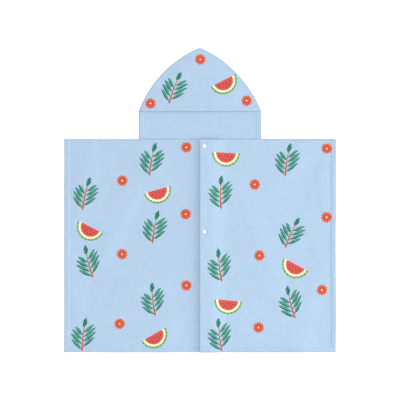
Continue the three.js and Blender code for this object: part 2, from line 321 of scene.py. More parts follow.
def nearest_repeat(x, y, repeat, seat, turn):
    """Place within the nearest repeat of a motif, moved and turned by its own chance, and 0 or 1 by
    turns. seat is the motif's own place in the repeat, as shares of its width and height."""
    width, height = repeat
    across = x / width - seat[0]
    column = compute("ROUND", across)
    along = y / height - seat[1] + compute("PINGPONG", column, 1.0) * HALF_DROP
    row = compute("ROUND", along)
    motif_number = seat[0] * 10 + seat[1]
    cell = {"X": column, "Y": row, "Z": motif_number}
    cell = add_node(x.tree, "ShaderNodeCombineXYZ", cell).outputs[0]
    chance = add_node(x.tree, "ShaderNodeTexWhiteNoise", {"Vector": cell}).outputs["Color"]
    aside, above, spin = add_node(x.tree, "ShaderNodeSeparateColor", {"Color": chance}).outputs
    u = (across - column - (Field(aside) - 0.5) * (2 * WANDER)) * width
    v = (along - row - (Field(above) - 0.5) * (2 * WANDER)) * height
    angle = (Field(spin) - 0.5) * (2 * turn)
    cosine, sine = compute("COSINE", angle), compute("SINE", angle)
    by_turns = compute("PINGPONG", row + column, 1.0)
    return u * cosine + v * sine, v * cosine - u * sine, by_turns


def make_scattered_print():
    """All the motifs in their places, from a place on the cloth, the screen's shift, the width and
    height of its repeat, and the daisies' place beside the sprigs, as shares of the repeat"""
    sockets = {"Vector": VECTOR, "Shift": VECTOR, "Repeat": VECTOR, "Beside": VECTOR}
    tree, given = new_group("scattered_print", sockets, INK_OUTPUTS)
    bleed = {"Vector": given["Vector"], "Scale": 1 / (2 * LOOP), "Detail": 2.0}
    bleed = add_node(tree, "ShaderNodeTexNoise", bleed).outputs["Color"]
    bleed = compute_place(tree, "ADD", {0: bleed, 1: (-0.5,) * 3})
    bleed = compute_place(tree, "SCALE", {0: bleed, "Scale": 2 * LOOP_BLEED})
    spot = compute_place(tree, "ADD", {0: given["Vector"], 1: given["Shift"]})
    spot = compute_place(tree, "ADD", {0: spot, 1: bleed})
    (x, y), repeat, beside = (
        [Field(part) for part in add_node(tree, "ShaderNodeSeparateXYZ", {0: pair}).outputs[:2]]
        for pair in (spot, given["Repeat"], given["Beside"])
    )
    motifs = [
        Motif(group=make_sprig(), seat=(0.0, 0.0), turn=math.radians(20), only=None),
        Motif(group=make_daisy(), seat=beside, turn=math.pi, only=None),
        Motif(group=make_melon(), seat=ABOVE_SPRIG, turn=math.radians(30), only=1.0),
    ]
    colour, mask = CREAM, None
    for motif in motifs:
        u, v, by_turns = nearest_repeat(x, y, repeat, motif.seat, motif.turn)
        inked = add_node(tree, "ShaderNodeGroup", {"U": u, "V": v}, node_tree=motif.group)
        own = Field(inked.outputs["Mask"])
        if motif.only is not None:
            own = own * compute("COMPARE", by_turns, motif.only, 0.5)
        colour = mix_colour(tree, own, colour, inked.outputs["Colour"])
        mask = own if mask is None else most(mask, own)
    add_node(tree, "NodeGroupOutput", {"Colour": colour, "Mask": mask})
    return tree


scattered_print = make_scattered_print()
TERRY_BLUE = paint(178, 202, 225)
TERRY_FINISH = {
    "Roughness": 0.95,
    "Diffuse Roughness": 0.4,
    "Specular IOR Level": 0.15,
    "Sheen Weight": 0.05,
    "Sheen Roughness": 0.6,
}
INK_COVER = 0.96
# Painted shade along the cloth's edges: its darker, greyer colour, and how strongly the body's and the
# hood's edges take it
PAINTED_EDGE_SHADE = (0.60, 0.58, 0.53, 1.0)
EDGE_SHADE_HALF = 0.5
EDGE_SHADE_FULL = 1.0
LOOP_BUMP = 0.75
LOOP_HEIGHT = 0.9 * MM


def new_material(name, finish):
    """A material with this finish all over, its node tree and the inputs of its shader"""
    material = bpy.data.materials.new(name)
    material.use_nodes = True
    shader = material.node_tree.nodes["Principled BSDF"].inputs
    for label, value in finish.items():
        shader[label].default_value = value
    return material, material.node_tree, shader


def terry_material(name, print_shift, repeat=BODY_REPEAT, edge_shading=EDGE_SHADE_HALF):
    """The dyed cloth with the print on its outer face, where this panel was cut from the printed length.
    Along its sewn and turned edges the colour is painted darker and greyer, as painted shade."""
    material, tree, shader = new_material(name, TERRY_FINISH)
    spot = add_node(tree, "ShaderNodeTexCoord", {}).outputs["Object"]
    pile = add_node(tree, "ShaderNodeGroup", {"Vector": spot}, node_tree=terry_pile)
    inks = {"Vector": spot, "Shift": (*print_shift, 0.0)}
    inks.update({"Repeat": (repeat.width, repeat.height, 0.0), "Beside": (*repeat.beside, 0.0)})
    inks = add_node(tree, "ShaderNodeGroup", inks, node_tree=scattered_print)
    outer = add_node(tree, "ShaderNodeAttribute", {}, attribute_name="outer_face").outputs["Fac"]
    cover = Field(inks.outputs["Mask"]) * Field(outer) * INK_COVER
    colour = mix_colour(tree, cover, TERRY_BLUE, inks.outputs["Colour"])
    # Painted shade along the edges, darker and greyer, read from the marks on the points
    shaded_edge = add_node(tree, "ShaderNodeAttribute", {}, attribute_name="painted_edge_shade").outputs["Fac"]
    # The pile's painted shade between the loops, and its painted light and shade where it leans,
    # multiplied into the colour
    colour = mix_colour(tree, 1.0, colour, pile.outputs["Shade"], blend="MULTIPLY")
    colour = mix_colour(tree, Field(shaded_edge) * edge_shading, colour, PAINTED_EDGE_SHADE, blend="MULTIPLY")
    bump = {"Strength": LOOP_BUMP, "Distance": LOOP_HEIGHT, "Height": pile.outputs["Height"]}
    bump = add_node(tree, "ShaderNodeBump", bump).outputs["Normal"]
    feed(shader["Base Color"], colour)
    feed(shader["Normal"], bump)
    return material


# Cut edges, hems and seams
# Free edges are turned in and stitched down: a ridge, with a furrow where the thread pulls in. Sewn
# edges meet in a soft fold. Between them the cloth lies in low swells, as it fell when it was laid out.
Swell = namedtuple("Swell", "x y along across turn height")
CLOTH = 2.8 * MM
GAP = 0.3 * MM
HEM = 10 * MM
PLACKET = 22 * MM
HEM_RISE = 0.8 * MM
HEM_SLOPE = 2 * MM
STITCH_INSET = 2 * MM
FURROW_DEPTH = 0.7 * MM
FURROW_WIDTH = 1.6 * MM
PUCKER = 0.45 * MM
PUCKER_SIZE = 9 * MM
EDGE_ROUND = 1.6 * MM
RIM_STEPS = np.array([0.0, 0.08, 0.3, 0.62, 1.0])
FREE_FOLD = 0.5
# How far in from an edge the painted edge shade reaches
EDGE_SHADE_WIDTH = 2.8 * MM
SEAM_FADE = 30 * MM
SEAM_TURN = 10 * MM
PITCH = 2.4 * MM
FAR = 1.0
RUMPLE = 0.3 * MM
RUMPLE_SIZE = 34 * MM
NAP = 0.14 * MM
NAP_SIZE = 4.5 * MM
DRIFT = 0.9 * MM
DRIFT_SIZE = 105 * MM
DRIFT_SEEDS = (2432, 791)
DRIFT_START, DRIFT_FULL = 30 * MM, 90 * MM
LUMPS_PER_SIDE = 256
BAKE_MARGIN = 0.01


def soft_step(low, high, value):
    """0 up to low and 1 from high on, with a smooth rise between them"""
    share = np.clip((value - low) / (high - low), 0.0, 1.0)
    return share * share * (3.0 - 2.0 * share)


def mix(first, second, share):
    return first + (second - first) * share


def lumps(x, y, size, seed):
    """Smooth seeded unevenness from -1 to 1, with lumps of about this size"""
    count = LUMPS_PER_SIDE
    table = np.random.default_rng(seed).uniform(-1.0, 1.0, (count, count))
    column, row = np.floor(x / size).astype(int), np.floor(y / size).astype(int)
    right, up = soft_step(0.0, 1.0, x / size - column), soft_step(0.0, 1.0, y / size - row)
    below = mix(table[column % count, row % count], table[(column + 1) % count, row % count], right)
    row = row + 1
    above = mix(table[column % count, row % count], table[(column + 1) % count, row % count], right)
    return mix(below, above, up)


def drifted(x, y):
    """No edge lies quite straight: every layer drifts sideways alike, but not beside the opening"""
    share = DRIFT * soft_step(DRIFT_START, DRIFT_FULL, abs(x))
    right, up = (lumps(x, y, DRIFT_SIZE, seed) for seed in DRIFT_SEEDS)
    return x + share * right, y + share * up


def swell_height(swells, x, y):
    """Height of the low swells, whose places and sizes are in millimetres and whose turns in degrees"""
    height = np.zeros_like(x)
    for swell in swells:
        turn = math.radians(swell.turn)
        right, up = x - swell.x * MM, y - swell.y * MM
        along = (right * math.cos(turn) + up * math.sin(turn)) / (swell.along * MM)
        across = (up * math.cos(turn) - right * math.sin(turn)) / (swell.across * MM)
        height += swell.height * MM * np.exp(-(along**2) - across**2)
    return height


def ridges(*hems):
    """Height that turned hems add, from (distance to the edge, width of the hem) pairs"""
    rises = [1.0 - soft_step(width, width + HEM_SLOPE, distance) for distance, width in hems]
    return HEM_RISE * np.maximum.reduce(rises)


def beside_stitches(reach, *hems):
    """1 on the line where a hem is stitched down, fading out over this reach"""
    lines = [distance - width + STITCH_INSET for distance, width in hems]
    return np.maximum.reduce([np.exp(-((line / reach) ** 2)) for line in lines])


def worn_top(x, y, seed, *hems):
    """The rumple and nap of handled cloth, the furrows of the stitching and the puckers beside them"""
    rumple = lumps(x, y, RUMPLE_SIZE, seed) + 0.5 * lumps(x, y, RUMPLE_SIZE / 2, seed + 1)
    life = RUMPLE * rumple + NAP * lumps(x, y, NAP_SIZE, seed + 2)
    puckers = PUCKER * lumps(x, y, PUCKER_SIZE, seed + 3) * beside_stitches(PUCKER_SIZE, *hems)
    return life + puckers - FURROW_DEPTH * beside_stitches(FURROW_WIDTH, *hems)


def hem_marks(edge, width, inward):
    """Places across a hem that its furrow and its ridge need"""
    line = width - STITCH_INSET
    furrow = [line - FURROW_WIDTH, line, line + FURROW_WIDTH / 2]
    ridge = [width, width + HEM_SLOPE / 2, width + HEM_SLOPE]
    return [edge + inward * step for step in furrow + ridge]


def stations(start, end, pitch, marks=()):
    """Places from edge to edge, through the marks: close together in the rounded rims, then about a
    pitch apart"""
    rim = EDGE_ROUND * RIM_STEPS
    fixed = np.sort([*(start + rim), *(end - rim), *marks])
    spans = []
    for low, high in zip(fixed, fixed[1:]):
        spans.append(np.linspace(low, high, math.ceil((high - low) / pitch) + 1)[:-1])
    return np.concatenate([*spans, [end]])


def unrolled(x, y, z):
    """Flat places of a surface's points, measured along it, so that its rims keep their width in a bake"""
    right = np.hypot(np.diff(x, axis=1, prepend=x[:, :1]), np.diff(z, axis=1, prepend=z[:, :1]))
    up = np.hypot(np.diff(y, axis=0, prepend=y[:1]), np.diff(z, axis=0, prepend=z[:1]))
    right, up = np.cumsum(right, axis=1), np.cumsum(up, axis=0)
    right -= right[:, -1:] / 2
    return (right - right.min()).ravel(), up.ravel()


def bake_map(outer, inner):
    """Both faces side by side in one square: the outer at full scale, and the inner squeezed into what
    is left"""
    width, height = (place.max() for place in outer)
    scale = 1.0 / max(width, height)
    wide = width > height
    used = (height if wide else width) * scale + BAKE_MARGIN
    across, along = (place / place.max() for place in inner)
    left = 1.0 - used
    squeezed = [across, used + along * left] if wide else [used + across * left, along]
    return np.column_stack(outer) * scale, np.column_stack(squeezed)


def new_piece(name, points, faces, material):
    """A smooth-shaded object from points and faces, which rides with the garment"""
    mesh = bpy.data.meshes.new(name)
    mesh.from_pydata(points.tolist(), [], faces)
    mesh.polygons.foreach_set("use_smooth", [True] * len(faces))
    mesh.materials.append(material)
    piece = bpy.data.objects.new(name, mesh)
    bpy.context.scene.collection.objects.link(piece)
    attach(piece, "root")
    return piece


def shell_cells(edge, holes):
    """The grid's cells as corners of the upper and under faces, which share points at the edge"""
    index = np.arange(edge.size).reshape(edge.shape)
    index_under = np.where(edge <= 0.0, index, index + edge.size)
    kept = np.ones((edge.shape[0] - 1, edge.shape[1] - 1), bool)
    for row, column in holes:
        kept[row - 1 : row + 1, column - 1 : column + 1] = False
    corners = [np.s_[:-1, :-1], np.s_[:-1, 1:], np.s_[1:, 1:], np.s_[1:, :-1]]
    cells = np.stack([index[corner][kept] for corner in corners], axis=1)
    cells_under = np.stack([index_under[corner][kept] for corner in reversed(corners)], axis=1)
    return cells, cells_under


def mark_points(piece, label, values):
    """A number at each point of the piece, which its material reads by this label"""
    marks = piece.data.attributes.new(label, "FLOAT", "POINT")
    marks.data.foreach_set("value", values.astype(np.float32))


def cut_panel(name, material, x, y, edge, low, high, closing, outer_up, shaded_edge, holes=()):
    """A closed shell of cloth over a grid of places, from its under and upper surface.
    edge is each place's distance to the cut edge, where the shell closes at this share of its thickness.
    A second distance, to the edges that are painted darker and greyer as painted shade, sets where that
    shade falls."""
    round_off = np.sqrt(1.0 - (1.0 - np.clip(edge / EDGE_ROUND, 0.0, 1.0)) ** 2)
    thick = high - low
    under = low + closing * (1.0 - round_off) * thick
    top = low + (closing + (1.0 - closing) * round_off) * thick
    cells, cells_under = shell_cells(edge, holes)
    used, faces = np.unique(np.concatenate([cells, cells_under]), return_inverse=True)
    flat = drifted(x, y)
    points = np.concatenate([np.stack([*flat, z], axis=-1).reshape(-1, 3) for z in (top, under)])
    piece = new_piece(name, points[used], faces.reshape(-1, 4).tolist(), material)
    place = used % x.size
    on_outer = ((used < x.size) == outer_up) | (edge.ravel()[place] <= 0.0)
    mark_points(piece, "outer_face", on_outer)
    # Painted shade along the edges: 1 at an edge, fading to 0 a few millimetres in
    mark_points(piece, "painted_edge_shade", 1.0 - soft_step(0.0, EDGE_SHADE_WIDTH, shaded_edge.ravel()[place]))
    sides = [unrolled(x, y, top), unrolled(x, y, under)]
    map_up, map_under = bake_map(*sides) if outer_up else bake_map(*sides[::-1])[::-1]
    places = np.concatenate([map_up[cells], map_under[cells[:, ::-1]]]).astype(np.float32)
    piece.data.uv_layers.new(name="OFBake").data.foreach_set("uv", places.ravel())
    return piece


# The sewing thread
# Dyed polyester in the cloth's own blue, two plies twisted together, in one straight row of stitches
# down the inner side of each hem. Each stitch sinks into the cloth at both ends.
THREAD = paint(170, 195, 221)
THREAD_GROOVE_SHADE = 0.78
THREAD_FINISH = {"Roughness": 0.55}
THREAD_RADIUS = 0.24 * MM
THREAD_SIDES = 6
TWIST = 0.5 * MM
STITCH_LENGTH = 2.6 * MM
STITCH_PITCH = 3.2 * MM
STITCH_STEPS = np.array([-1.0, -0.7, 0.0, 0.7, 1.0])
STITCH_TAPER = np.array([0.5, 1.0, 1.0, 1.0, 0.5])
STITCH_CROWN = 0.8
STITCH_SINK = 2.0


def make_thread_material():
    material, tree, shader = new_material("sewing_thread", THREAD_FINISH)
    spot = add_node(tree, "ShaderNodeTexCoord", {}).outputs["Object"]
    plies = {"Vector": spot, "Scale": 1 / TWIST, "Distortion": 1.0}
    plies = add_node(tree, "ShaderNodeTexWave", plies, bands_direction="DIAGONAL").outputs["Fac"]
    # Painted shade in the grooves between the twisted plies: the thread is darker where the plies' bump is
    # low
    darker = tuple(part * THREAD_GROOVE_SHADE for part in THREAD[:3]) + (1.0,)
    feed(shader["Base Color"], mix_colour(tree, plies, darker, THREAD))
    bump = add_node(tree, "ShaderNodeBump", {"Distance": TWIST / 4, "Height": plies})
    feed(shader["Normal"], bump.outputs["Normal"])
    return material


thread = make_thread_material()


def stitch_places(runs):
    """The middle of each stitch along straight runs, and the way that it heads"""
    places, headings = [], []
    for start, end in runs:
        start, end = np.array(start), np.array(end)
        length = math.dist(start, end)
        count = int(length / STITCH_PITCH)
        share = (np.arange(count) + 0.5) / count
        places.append(start + share[:, None] * (end - start))
        headings.append(np.broadcast_to((end - start) / length, (count, 2)))
    return np.concatenate(places), np.concatenate(headings)


def stitch_faces(point_count):
    """The sides and both ends of each stitch, whose rings of points follow each other"""
    around = [(k, (k + 1) % THREAD_SIDES) for k in range(THREAD_SIDES)]
    faces = []
    for first in range(0, point_count, len(STITCH_STEPS) * THREAD_SIDES):
        last = first + (len(STITCH_STEPS) - 1) * THREAD_SIDES
        for start in range(first, last, THREAD_SIDES):
            after = start + THREAD_SIDES
            faces += [(start + a, start + b, after + b, after + a) for a, b in around]
        faces.append(tuple(range(first + THREAD_SIDES - 1, first - 1, -1)))
        faces.append(tuple(range(last, last + THREAD_SIDES)))
    return faces


def sew(name, surface, side, *runs):
    """Stitches along straight runs on a surface, sunk in at their ends.
    side is 1 for stitches on top of the surface and -1 for stitches under it."""
    place, heading = stitch_places(runs)
    radius = THREAD_RADIUS * STITCH_TAPER
    lift = THREAD_RADIUS * (STITCH_CROWN - STITCH_SINK * STITCH_STEPS**2)
    ring = place[:, None] + heading[:, None] * (STITCH_STEPS * STITCH_LENGTH / 2)[:, None]
    height = surface(ring[..., 0], ring[..., 1]) + side * lift
    turn = np.linspace(0.0, math.tau, THREAD_SIDES, endpoint=False)
    aside = np.stack([-heading[:, 1], heading[:, 0]], axis=-1)[:, None, None]
    flat = ring[:, :, None] + aside * (radius[:, None] * np.cos(turn))[..., None]
    up = height[..., None] + radius[:, None] * np.sin(turn)
    flat_x, flat_y = drifted(flat[..., 0], flat[..., 1])
    points = np.stack([flat_x, flat_y, np.maximum(up, 0.0)], axis=-1).reshape(-1, 3)
    piece = new_piece(name, points, stitch_faces(len(points)), thread)
    return piece


# The back panel
# One rectangle of printed terry, print side down on the surface, hemmed at its sides and bottom.
# The fronts are sewn to it at the shoulders, and the back of the hood between them.
back_low, back_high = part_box("back_panel")
SIDE_X, HEM_Y, NECK_Y = back_high.x, back_low.y, back_high.y
NECK_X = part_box("hood_back")[1].x
BACK_PITCH = 3.2 * MM
SIDE_LINE = SIDE_X - HEM + STITCH_INSET
HEM_LINE = HEM_Y + HEM - STITCH_INSET


def back_hems(x, y):
    return (SIDE_X - abs(x), HEM), (y - HEM_Y, HEM)


def back_top(x, y):
    return CLOTH + ridges(*back_hems(x, y))


def back_under(x, y):
    """Flat, but for the furrow of the hem's stitching"""
    return FURROW_DEPTH * beside_stitches(FURROW_WIDTH, *back_hems(x, y))


def at_shoulder(x, y):
    """1 on the shoulder seams and 0 at the neck and away from them"""
    beside_neck = soft_step(NECK_X, NECK_X + SEAM_TURN, abs(x))
    return beside_neck * soft_step(SEAM_TURN, 0.0, NECK_Y - y)


side_marks = [*hem_marks(-SIDE_X, HEM, 1), *hem_marks(SIDE_X, HEM, -1)]
x, y = np.meshgrid(
    stations(-SIDE_X, SIDE_X, BACK_PITCH, side_marks),
    stations(HEM_Y, NECK_Y, BACK_PITCH, hem_marks(HEM_Y, HEM, 1)),
)
edge = np.minimum.reduce([SIDE_X - abs(x), y - HEM_Y, NECK_Y - y])
closing = FREE_FOLD + (1.0 - FREE_FOLD) * at_shoulder(x, y)
back_terry = terry_material("back_terry", print_shift=(0.031, 0.022))
surfaces = back_under(x, y), back_top(x, y)
back = cut_panel(
    "back_cloth", back_terry, x, y, edge, *surfaces, closing=closing, outer_up=False, shaded_edge=edge
)
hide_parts("back_panel")
back_stitches = sew(
    "back_stitches",
    back_under,
    -1,
    ((-SIDE_LINE, HEM_LINE), (-SIDE_LINE, NECK_Y - HEM)),
    ((SIDE_LINE, HEM_LINE), (SIDE_LINE, NECK_Y - HEM)),
    ((-SIDE_LINE, HEM_LINE), (SIDE_LINE, HEM_LINE)),
)

# The back of the hood
# The strip behind the neck and the pointed back of the hood, in one piece of terry, print side down.
# Its plain inner face shows as the strip, which is hemmed at its sides and sewn to the back's neck.
HOOD_EDGE_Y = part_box("hood_front")[0].y
PEAK_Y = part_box("hood_back")[1].y
HOOD_BULGE = 23.5 * MM
HOOD_TIP = 1 * MM
HOOD_HEIGHT = PEAK_Y - HOOD_EDGE_Y
CHORD = math.hypot(NECK_X, HOOD_HEIGHT)
CURVE_RADIUS = (CHORD**2 / 4 + HOOD_BULGE**2) / (2 * HOOD_BULGE)
CURVE_X = NECK_X / 2 - (CURVE_RADIUS - HOOD_BULGE) * HOOD_HEIGHT / CHORD
CURVE_Y = HOOD_EDGE_Y + HOOD_HEIGHT / 2 - (CURVE_RADIUS - HOOD_BULGE) * NECK_X / CHORD
NECK_SEAM_Y = NECK_Y + GAP
STRIP_LINE = NECK_X - HEM + STITCH_INSET
STRIP_FOLD = 0.85
STRIP_WEAR = 0.6
STRIP_SEED = 41
NECK_RISE = 1.4 * MM
TIP_CROWDING = 1.4
TIP_ROWS = 12


def hood_half_width(y):
    """Straight beside the neck, then an arc up to the point"""
    arc = CURVE_X + np.sqrt(np.maximum(0.0, CURVE_RADIUS**2 - (y - CURVE_Y) ** 2))
    return np.where(y <= HOOD_EDGE_Y, NECK_X, np.maximum(HOOD_TIP, arc))


def hood_slant(y):
    """How much of a step across is a step straight in from the outline"""
    return np.where(y <= HOOD_EDGE_Y, 1.0, (hood_half_width(y) - CURVE_X) / CURVE_RADIUS)


def hood_edge(x, y, start):
    """Distance to the hood's outline, from its first level to its point"""
    to_side = (hood_half_width(y) - abs(x)) * hood_slant(y)
    return np.minimum.reduce([to_side, y - start, PEAK_Y - y])


def hood_grid(levels):
    """Places in rows that narrow with the hood's outline, close together in its rounded rim"""
    marks = [*hem_marks(-NECK_X, HEM, 1), *hem_marks(NECK_X, HEM, -1)]
    x, y = np.meshgrid(stations(-NECK_X, NECK_X, PITCH, marks), levels)
    half = hood_half_width(y)
    rim = np.minimum(EDGE_ROUND / hood_slant(y), half / 2)
    depth = NECK_X - abs(x)
    in_rim = depth * rim / EDGE_ROUND
    inside = rim + (depth - EDGE_ROUND) / (NECK_X - EDGE_ROUND) * (half - rim)
    return np.sign(x) * (half - np.where(depth <= EDGE_ROUND, in_rim, inside)), y


def curve_levels(start):
    """Levels from this one up the hood's arc, closer together towards its point"""
    share = np.linspace(0.0, 1.0, math.ceil(HOOD_HEIGHT / PITCH) + TIP_ROWS)[1:]
    return PEAK_Y - (PEAK_Y - start) * (1.0 - share) ** TIP_CROWDING


def strip_hems(x, y):
    return ((np.where(y < HOOD_EDGE_Y, NECK_X - abs(x), FAR), HEM),)


def hood_back_top(x, y):
    """It rises to its seam at the neck, where the edges are turned in, and is smooth under the hood's
    front"""
    hems = strip_hems(x, y)
    shows = soft_step(HOOD_EDGE_Y, HOOD_EDGE_Y - PITCH, y)
    turned_in = NECK_RISE * soft_step(NECK_SEAM_Y + SEAM_TURN, NECK_SEAM_Y, y)
    wear_and_edge_shade = STRIP_WEAR * shows * worn_top(x, y, STRIP_SEED, *hems)
    return CLOTH + turned_in + ridges(*hems) + wear_and_edge_shade


strip_levels = stations(NECK_SEAM_Y, HOOD_EDGE_Y, PITCH)
strip_levels = np.append(strip_levels[strip_levels < HOOD_EDGE_Y - EDGE_ROUND / 2], HOOD_EDGE_Y)
x, y = hood_grid(np.concatenate([strip_levels, curve_levels(HOOD_EDGE_Y)]))
edge = hood_edge(x, y, NECK_SEAM_Y)
up_curve = soft_step(HOOD_EDGE_Y, HOOD_EDGE_Y + SEAM_TURN, y)
closing = STRIP_FOLD + (1.0 - STRIP_FOLD) * up_curve
hood_terry = terry_material("hood_back_terry", print_shift=(0.058, 0.071), edge_shading=EDGE_SHADE_FULL)
surfaces = np.zeros_like(x), hood_back_top(x, y)
# Distance to the hood's outline, where its edges are painted darker as painted shade
wear_and_edge_shade = hood_edge(x, y, -FAR)
hood_back = cut_panel(
    "hood_back_cloth", hood_terry, x, y, edge, *surfaces, closing=closing, outer_up=False, shaded_edge=wear_and_edge_shade
)
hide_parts("hood_back")
strip_stitches = sew(
    "strip_stitches",
    hood_back_top,
    1,
    ((-STRIP_LINE, NECK_SEAM_Y), (-STRIP_LINE, HOOD_EDGE_Y)),
    ((STRIP_LINE, NECK_SEAM_Y), (STRIP_LINE, HOOD_EDGE_Y)),
)

# The front of the hood
# A pointed piece of printed terry, print side up, sewn to the hood's back round its curve.
# Its straight edge is hemmed and free, and is the upper rim of the opening for the face.
HOOD_SWELLS = [
    Swell(x=-20, y=236, along=90, across=22, turn=4, height=1.6),
    Swell(x=62, y=290, along=70, across=24, turn=128, height=1.5),
    Swell(x=-55, y=310, along=60, across=20, turn=52, height=1.2),
]
HOOD_LINE = HOOD_EDGE_Y + HEM - STITCH_INSET
HOOD_SEED = 51
LEVELS_IN_HEM = 2
RIM_SPARED = EDGE_SHADE_WIDTH / 3


def hood_front_under(x, y):
    near_seam = soft_step(0.0, SEAM_FADE, hood_half_width(y) - abs(x))
    return CLOTH + GAP + swell_height(HOOD_SWELLS, x, y) * near_seam


def hood_front_top(x, y):
    hem = (y - HOOD_EDGE_Y, HEM)
    return hood_front_under(x, y) + CLOTH + ridges(hem) + worn_top(x, y, HOOD_SEED, hem)


hem_levels = np.sort([*(HOOD_EDGE_Y + EDGE_ROUND * RIM_STEPS), *hem_marks(HOOD_EDGE_Y, HEM, 1)])
rim_end, furrow_start = HOOD_EDGE_Y + EDGE_ROUND, HOOD_LINE - FURROW_WIDTH
between = np.linspace(rim_end, furrow_start, LEVELS_IN_HEM + 2)[1:-1]
levels = np.concatenate([hem_levels, between, curve_levels(hem_levels[-1])])
x, y = hood_grid(np.sort(levels))
edge = hood_edge(x, y, HOOD_EDGE_Y)
closing = FREE_FOLD * soft_step(HOOD_EDGE_Y + SEAM_TURN, HOOD_EDGE_Y, y)
hood_terry = terry_material("hood_front_terry", (0.064, 0.165), HOOD_REPEAT, edge_shading=EDGE_SHADE_FULL)
surfaces = hood_front_under(x, y), hood_front_top(x, y)
# Distance to the outline, sparing the hem a little, where the edges are painted darker as painted shade
wear_and_edge_shade = np.minimum(hood_edge(x, y, -FAR), y - HOOD_EDGE_Y + RIM_SPARED)
hood_front = cut_panel(
    "hood_front_cloth", hood_terry, x, y, edge, *surfaces, closing=closing, outer_up=True, shaded_edge=wear_and_edge_shade
)
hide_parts("hood_front")
ends = NECK_X - HEM
hood_stitches = sew("hood_stitches", hood_front_top, 1, ((-ends, HOOD_LINE), (ends, HOOD_LINE)))

# The lower front
# The wearer's right front, print side up, with a wide hem down its inner edge that carries the studs.
# It runs on under the other front, and is sewn to the back at the shoulder.
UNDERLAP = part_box("front_under")[1].x
SNAP_X = (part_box("snap_1_cap")[0].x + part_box("snap_1_cap")[1].x) / 2
SNAP_YS = [(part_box(node)[0].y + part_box(node)[1].y) / 2 for node in ("snap_1_cap", "snap_2_cap")]
POST_HOLE = 2.3 * MM
PRESSED_CLOTH = 1.6 * MM
PRESSED_REACH = 8.1 * MM
PRESSED_FADE = 11 * MM
SNAP_MARKS = (POST_HOLE, 5.7 * MM, 8.3 * MM, PRESSED_FADE)
LOWER_CLOTH_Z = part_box("snap_1_stud")[0].z - GAP - PRESSED_CLOTH
UNDER_SWELLS = [
    Swell(x=-300, y=60, along=120, across=34, turn=80, height=2.6),
    Swell(x=-215, y=-60, along=150, across=30, turn=62, height=1.9),
    Swell(x=-120, y=70, along=80, across=26, turn=118, height=1.7),
    Swell(x=-330, y=-230, along=95, across=30, turn=96, height=2.4),
    Swell(x=-190, y=-270, along=130, across=34, turn=20, height=2.0),
    Swell(x=-90, y=-370, along=70, across=26, turn=74, height=2.2),
]
UNDER_SEED = 61
NECK_LINE = NECK_Y - HEM + STITCH_INSET
NECK_SPARED = EDGE_SHADE_WIDTH / 2


def near_snap(x, y):
    """1 where a snap presses the cloth thin, falling to 0 around it"""
    far = np.minimum.reduce([np.hypot(x - SNAP_X, y - snap_y) for snap_y in SNAP_YS])
    return 1.0 - soft_step(PRESSED_REACH, PRESSED_FADE, far)


def front_hems(x, y, from_opening):
    """The hems of a front: its placket, side, bottom and neck"""
    neck = np.where(abs(x) < NECK_X, NECK_Y - y, FAR)
    return (from_opening, PLACKET), (SIDE_X - abs(x), HEM), (y - HEM_Y, HEM), (neck, HEM)


def front_under(x, y, swells, lap, pressed_z):
    """How a front's lower face lies on the back, and where the snaps hold it"""
    swell = swell_height(swells, x, y) * soft_step(0.0, SEAM_FADE, NECK_Y - y)
    return mix(back_top(x, y) + GAP + lap + swell, pressed_z, near_snap(x, y))


def front_thickness(x, y, hems, seed):
    life = worn_top(x, y, seed, *hems)
    return mix(CLOTH + ridges(*hems) + life, PRESSED_CLOTH, near_snap(x, y))


def marks_at_snap(middle):
    """Places through a snap's middle and around it, along one axis"""
    return [middle, *(middle + step for step in SNAP_MARKS), *(middle - step for step in SNAP_MARKS)]


def front_grid(start, end, marks):
    """Places over a front, each one's distance to an edge or a post hole, and the holes' places in it"""
    columns = stations(start, end, PITCH, [*marks, *marks_at_snap(SNAP_X)])
    levels = [*hem_marks(HEM_Y, HEM, 1), *hem_marks(NECK_Y, HEM, -1)]
    for snap_y in SNAP_YS:
        levels += marks_at_snap(snap_y)
    rows = stations(HEM_Y, NECK_Y, PITCH, levels)
    x, y = np.meshgrid(columns, rows)
    edge = np.minimum.reduce([x - start, end - x, y - HEM_Y, NECK_Y - y])
    column = int(np.argmin(abs(columns - SNAP_X)))
    holes = [(int(np.argmin(abs(rows - snap_y))), column) for snap_y in SNAP_YS]
    for row, column in holes:
        ring = np.s_[row - 1 : row + 2, column - 1 : column + 2]
        right, up = x[ring] - x[row, column], y[ring] - y[row, column]
        pull = POST_HOLE / np.maximum(np.hypot(right, up), POST_HOLE)
        x[ring], y[ring] = x[row, column] + right * pull, y[row, column] + up * pull
        edge[ring] = 0.0
    return x, y, edge, holes


def front_closing(x, y):
    """At the shoulder the front turns down to its seam; elsewhere its edge is a free fold"""
    return FREE_FOLD * (1.0 - at_shoulder(x, y))


def front_shaded_edges(x, y):
    """Distance to the edges painted darker as painted shade: a front's side, bottom, shoulder and, a
    little less, its neck
    """
    spared = np.where(abs(x) < NECK_X, NECK_SPARED, 0.0)
    return np.minimum.reduce([SIDE_X - abs(x), y - HEM_Y, NECK_Y - y + spared])


def lower_under(x, y):
    return front_under(x, y, UNDER_SWELLS, 0.0, LOWER_CLOTH_Z)


def lower_top(x, y):
    return lower_under(x, y) + front_thickness(x, y, front_hems(x, y, UNDERLAP - x), UNDER_SEED)


